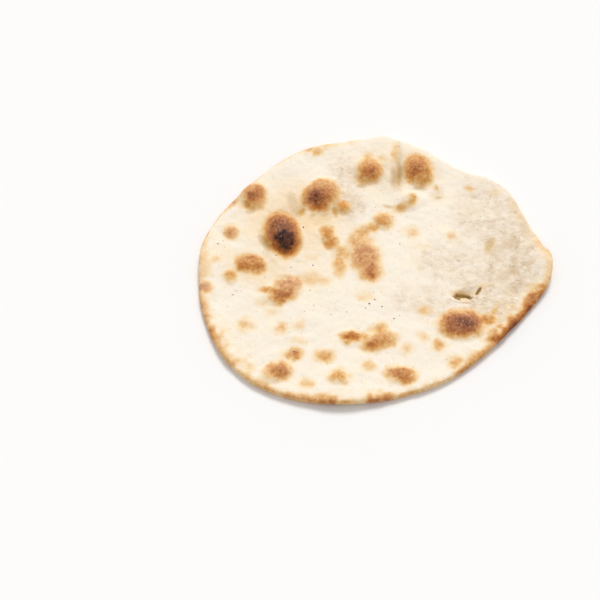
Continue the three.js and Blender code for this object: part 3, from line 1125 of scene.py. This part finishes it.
def dough_material(name, grain, dough_colour):
    """Baked dough, whose toast, flour, leathery patches and painted shade come from the mesh."""
    soft = {
        "Subsurface Weight": 0.22, "Subsurface Radius": (1.0, 0.78, 0.58), "Subsurface Scale": 0.003
    }  # fmt: skip
    material, graph, shader = surface_material(name, soft)
    place = graph.add("ShaderNodeTexCoord").outputs["Object"]
    masks = {
        mask.title(): graph.add("ShaderNodeAttribute", attribute_name=mask).outputs["Fac"]
        for mask in MASKS
    }
    paint = graph.add("ShaderNodeGroup", {"Vector": place, **masks}, node_tree=dough_colour).outputs
    crisp = graph.between(masks["Toast"], 0.2, 0.6, 0.5, 1.0)
    leathery = graph.times(masks["Leather"], 0.5)
    height = graph.times(graph.grain(grain, place, 0.0011), graph.plus(crisp, leathery))
    bump = graph.out("ShaderNodeBump", {"Strength": 0.6, "Distance": 0.00014, "Height": height})
    rough = graph.between(paint["Toast"], 0.3, 0.9, 0.8, 0.55)
    graph.fill(shader, {"Base Color": paint["Color"], "Roughness": rough, "Normal": bump})
    return material


def fleck_material(name, base, darker, grain):
    """A dry chip whose colour varies from place to place."""
    material, graph, shader = surface_material(name, {"Roughness": 0.8})
    varied = graph.grain(grain, graph.add("ShaderNodeTexCoord").outputs["Object"], 0.006)
    shade = graph.mixed(graph.between(varied, -0.6, 0.6), (*darker, 1), (*base, 1))
    bump = graph.out("ShaderNodeBump", {"Strength": 0.3, "Distance": 0.00005, "Height": varied})
    graph.fill(shader, {"Base Color": shade, "Normal": bump})
    return material


# ---------------------------------------------------------------- the pieces


ON_TOP = 0.99  # a point whose level is above this lies on the upper side
EDGE_ON_MAP = 0.08  # how far past the flat part of each side the rounded edge reaches on the map
UPPER_ON_MAP = (0.355, 0.355, 0.322)  # middle and radius of the upper side on the map
LOWER_ON_MAP = (0.79, 0.79, 0.19)


def link_piece(name, mesh):
    piece = bpy.data.objects.new(name, mesh)
    bpy.context.scene.collection.objects.link(piece)
    return piece


def aimed(name, data, place, direction, front):
    """A lamp or a camera at a place, whose front axis points in a direction."""
    thing = link_piece(name, data)
    thing.location = place
    thing.rotation_euler = direction.to_track_quat(front, "Y").to_euler()
    return thing


def set_values(mesh, name, values):
    attribute = mesh.attributes.new(name, "FLOAT", "POINT")
    attribute.data.foreach_set("value", np.asarray(values, np.float32))


def get_values(mesh, name):
    values = np.empty(len(mesh.vertices), np.float32)
    mesh.attributes[name].data.foreach_get("value", values)
    return values.astype(float)


def refine(mesh, oval, halvings):
    """Splits the faces of the upper side within an oval, for finer relief there."""
    work = bmesh.new()
    work.from_mesh(mesh)
    level = work.verts.layers.float["level"]
    for _ in range(halvings):
        near = [
            edge
            for edge in work.edges
            if all(v[level] > ON_TOP and oval_share(oval, v.co.x / MM, v.co.y / MM) < 1 for v in edge.verts)
        ]
        bmesh.ops.subdivide_edges(work, edges=near, cuts=1, use_grid_fill=True)
    bmesh.ops.triangulate(work, faces=[face for face in work.faces if len(face.verts) > 3])
    work.to_mesh(mesh)
    work.free()


def crust_mesh(shape):
    """The whole skin as one closed mesh, with its toast, flour, leathery patches and painted shade."""
    skin = Skin(shape)
    mesh = bpy.data.meshes.new("roti_crust")
    mesh.from_pydata((skin.points[:, :3] * MM).tolist(), [], skin.faces)
    for name, values in zip(("inset", "level", "reach"), skin.points.T[3:]):
        set_values(mesh, name, values)
    refine(mesh, TORN, shape.torn_halvings)
    mesh.shade_smooth()

    places = np.empty(len(mesh.vertices) * 3, np.float32)
    mesh.vertices.foreach_get("co", places)
    places = places.reshape(-1, 3).astype(float)
    x, y = places[:, 0] / MM, places[:, 1] / MM
    inset, level, reach = (get_values(mesh, name) for name in ("inset", "level", "reach"))
    upper = (level + 1) / 2
    relief, gap = torn_at(x, y)
    on_top = level > ON_TOP
    places[:, 2] += np.where(on_top, relief * MM, 0)
    mesh.vertices.foreach_set("co", places.astype(np.float32).ravel())

    from_above = step_between(0.1, 0.9, upper)
    domed_toast, domed_dust = spots_at(DOMED_SPOTS, x, y, DOMED_WANDER)
    flat_toast, flat_dust = spots_at(FLAT_SPOTS, x, y)
    top_toast = np.maximum(domed_toast, flat_toast)
    top_dust = np.where(domed_toast > flat_toast, domed_dust, flat_dust)
    under_toast, under_dust = spots_at(under_spots(seed=5), x, y)
    rim_toast, rim_dust = rim_toast_at(x, y, inset)
    toast = lerp(under_toast, top_toast, from_above)
    dust = lerp(under_dust, top_dust, from_above)
    dust = np.where(rim_toast > toast, rim_dust, dust)
    set_values(mesh, "toast", np.maximum(toast, rim_toast))
    set_values(mesh, "dust", dust)
    set_values(mesh, "leather", lerp(0.5, patches_at(LEATHER_AND_SHADE, x, y), from_above))
    set_values(mesh, "upper", upper)
    # Painted shade of the burst's gap, slit, lip and fold, and the stains with the painted shade in the lee
    # of bubbles.
    set_values(mesh, "stain_and_shade_mask", np.where(on_top, np.maximum(gap, patches_at(STAINS_AND_SHADE, x, y)), 0))
    add_map(mesh, x, y, level, reach)
    return mesh


def add_map(mesh, x, y, level, reach):
    """Unwraps each side as a disc, with half of the rounded edge round it."""
    radius = np.maximum(np.hypot(x, y), 1e-9)
    across, up = x / radius * reach, y / radius * reach
    corners = np.empty(len(mesh.loops), np.int32)
    mesh.loops.foreach_get("vertex_index", corners)
    tops = (level[corners].reshape(-1, 3).min(1) > -0.05).repeat(3)
    upper_x, upper_y, upper_size = UPPER_ON_MAP
    lower_x, lower_y, lower_size = LOWER_ON_MAP
    u = np.where(tops, upper_x + upper_size * across[corners], lower_x - lower_size * across[corners])
    v = np.where(tops, upper_y + upper_size * up[corners], lower_y + lower_size * up[corners])
    layer = mesh.uv_layers.new(name="OFBake")
    layer.uv.foreach_set("vector", np.stack([u, v], 1).astype(np.float32).ravel())


def strewn(name, crust, values, material):
    """Chips strewn on a copy of the crust, as a piece of their own."""
    piece = link_piece(name, crust.data.copy())
    run_nodes(piece, scatter_tree(), values | {"Material": material})
    return piece


def height_of(tree, x, y):
    """Height in metres of a mesh's upper side, at a place given in millimetres."""
    hit = tree.ray_cast(Vector((x * MM, y * MM, 1)), Vector((0, 0, -1)))[0]
    if hit is None:
        raise RuntimeError(f"nothing lies below {x}, {y}")
    return hit.z


def finish_piece(piece):
    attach(piece, BODY)


class ROTI_OT_crust(bpy.types.Operator):
    """Make the baked sheet with its bubbles, rim and toasted spots"""

    bl_idname = "roti.crust"
    bl_label = "Crust"

    def execute(self, context):
        scene = context.scene
        crust = link_piece("roti_crust", crust_mesh(scene.roti_shape))
        grain = grain_group()
        surface = scene.roti_surface
        values = {f"{name} height": getattr(surface, f"{name}_height") for name in RELIEFS}
        values |= {f"{name} size": getattr(surface, f"{name}_size") for name in RELIEFS}
        values["Seed"] = float(surface.seed)
        values["Material"] = dough_material(
            "baked_dough", grain, dough_colour_group(scene.roti_colours, grain)
        )
        run_nodes(crust, relief_tree(), values)
        finish_piece(crust)
        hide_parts(NODE)
        return {"FINISHED"}


class ROTI_OT_flecks(bpy.types.Operator):
    """Strew flecks of bran and specks of char over the crust"""

    bl_idname = "roti.flecks"
    bl_label = "Flecks"

    def execute(self, context):
        scene = context.scene
        flecks, colours = scene.roti_flecks, scene.roti_colours
        crust = bpy.data.objects["roti_crust"]
        grain = bpy.data.node_groups["toast_grain"]
        area = sum(face.area for face in crust.data.polygons)
        bran = fleck_material("bran", colours.bran, colours.amber, grain)
        char = fleck_material("char_speck", colours.char, colours.umber, grain)
        for name, material, count, smallest, largest, seed_step in (
            ("bran_flecks", bran, flecks.bran_count, flecks.bran_small, flecks.bran_large, 0),
            ("char_specks", char, flecks.char_count, flecks.char_small, flecks.char_large, 40),
        ):
            values = {
                "Density": count / area, "Smallest": smallest, "Largest": largest,
                "Thickness": flecks.thickness, "Seed": flecks.seed + seed_step,
            }  # fmt: skip
            finish_piece(strewn(name, crust, values, material))
        finish_piece(self.large_specks(crust, char))
        return {"FINISHED"}

    def large_specks(self, crust, material):
        """The specks that show from a step away, each a flat grain half sunk into the crust."""
        surface = BVHTree.FromObject(crust, bpy.context.evaluated_depsgraph_get())
        grains = bmesh.new()
        for i, (x, y, width) in enumerate(CHAR_SPECKS):
            place = Matrix.Translation((x * MM, y * MM, height_of(surface, x, y)))
            turn = Matrix.Rotation(i * SPECK_TURN, 4, "Z")
            size = Matrix.Diagonal((*(width * MM * side for side in SPECK_SIDES), 1))
            bmesh.ops.create_icosphere(grains, subdivisions=1, radius=0.5, matrix=place @ turn @ size)
        mesh = bpy.data.meshes.new("large_specks")
        grains.to_mesh(mesh)
        grains.free()
        mesh.materials.append(material)
        return link_piece("large_specks", mesh)


class ROTI_OT_stage(bpy.types.Operator):
    """Make the pale floor, the soft light and the camera"""

    bl_idname = "roti.stage"
    bl_label = "Stage"

    def execute(self, context):
        scene = context.scene
        settings, colours = scene.roti_stage, scene.roti_colours
        half = settings.floor_size / 2
        mesh = bpy.data.meshes.new("floor")
        corners = [(-half, -half, 0), (half, -half, 0), (half, half, 0), (-half, half, 0)]
        mesh.from_pydata(corners, [], [(0, 1, 2, 3)])
        floor = link_piece("floor", mesh)
        finish = {"Roughness": 0.9, "Base Color": (*colours.floor, 1)}
        mesh.materials.append(surface_material("floor", finish)[0])
        floor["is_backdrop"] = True

        world = scene.world or bpy.data.worlds.new("studio")
        scene.world = world
        world.use_nodes = True
        background = world.node_tree.nodes["Background"]
        background.inputs["Color"].default_value = (1, 1, 1, 1)
        background.inputs["Strength"].default_value = settings.fill

        key = bpy.data.lights.new("key", "SUN")
        key.energy = settings.key_power
        key.angle = settings.key_spread
        level, bearing = math.cos(settings.key_height), settings.key_bearing
        towards_key = Vector(
            (level * math.cos(bearing), level * math.sin(bearing), math.sin(settings.key_height))
        )
        aimed("key", key, towards_key, towards_key, "Z")

        camera = bpy.data.cameras.new("camera")
        camera.lens = settings.lens
        back = Vector((0, -math.cos(settings.height_angle), math.sin(settings.height_angle)))
        place = CAMERA_LOOKS_AT + back * settings.distance
        scene.camera = aimed("camera", camera, place, -back, "-Z")
        scene.view_settings.view_transform = "Standard"
        return {"FINISHED"}


class ROTI_PT_panel(bpy.types.Panel):
    """Lists what the roti is made of"""

    bl_label = "Tandoori Roti"
    bl_idname = "ROTI_PT_panel"
    bl_space_type = "VIEW_3D"
    bl_region_type = "UI"
    bl_category = "Roti"

    def draw(self, context):
        for operator in OPERATORS:
            self.layout.operator(operator.bl_idname)
        for name, group in GROUPS.items():
            box = self.layout.box()
            box.label(text=group.__doc__)
            for field in group.__annotations__:
                box.prop(getattr(context.scene, name), field)


OPERATORS = [ROTI_OT_crust, ROTI_OT_flecks, ROTI_OT_stage]
GROUPS = {
    "roti_shape": RotiShape,
    "roti_surface": RotiSurface,
    "roti_colours": RotiColours,
    "roti_flecks": RotiFlecks,
    "roti_stage": RotiStage,
}


def register():
    for item in [*GROUPS.values(), *OPERATORS, ROTI_PT_panel]:
        bpy.utils.register_class(item)
    for name, group in GROUPS.items():
        setattr(bpy.types.Scene, name, PointerProperty(type=group))


def unregister():
    for name in GROUPS:
        delattr(bpy.types.Scene, name)
    for item in [ROTI_PT_panel, *OPERATORS[::-1], *GROUPS.values()]:
        bpy.utils.unregister_class(item)


def main():
    register()
    bpy.ops.roti.crust()
    bpy.ops.roti.flecks()
    bpy.ops.roti.stage()
    boxes = {"cad": CAD_BOX, "visual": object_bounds()}
    {name: [list(corner) for corner in box] for name, box in boxes.items()}


if __name__ == "__main__":
    main()
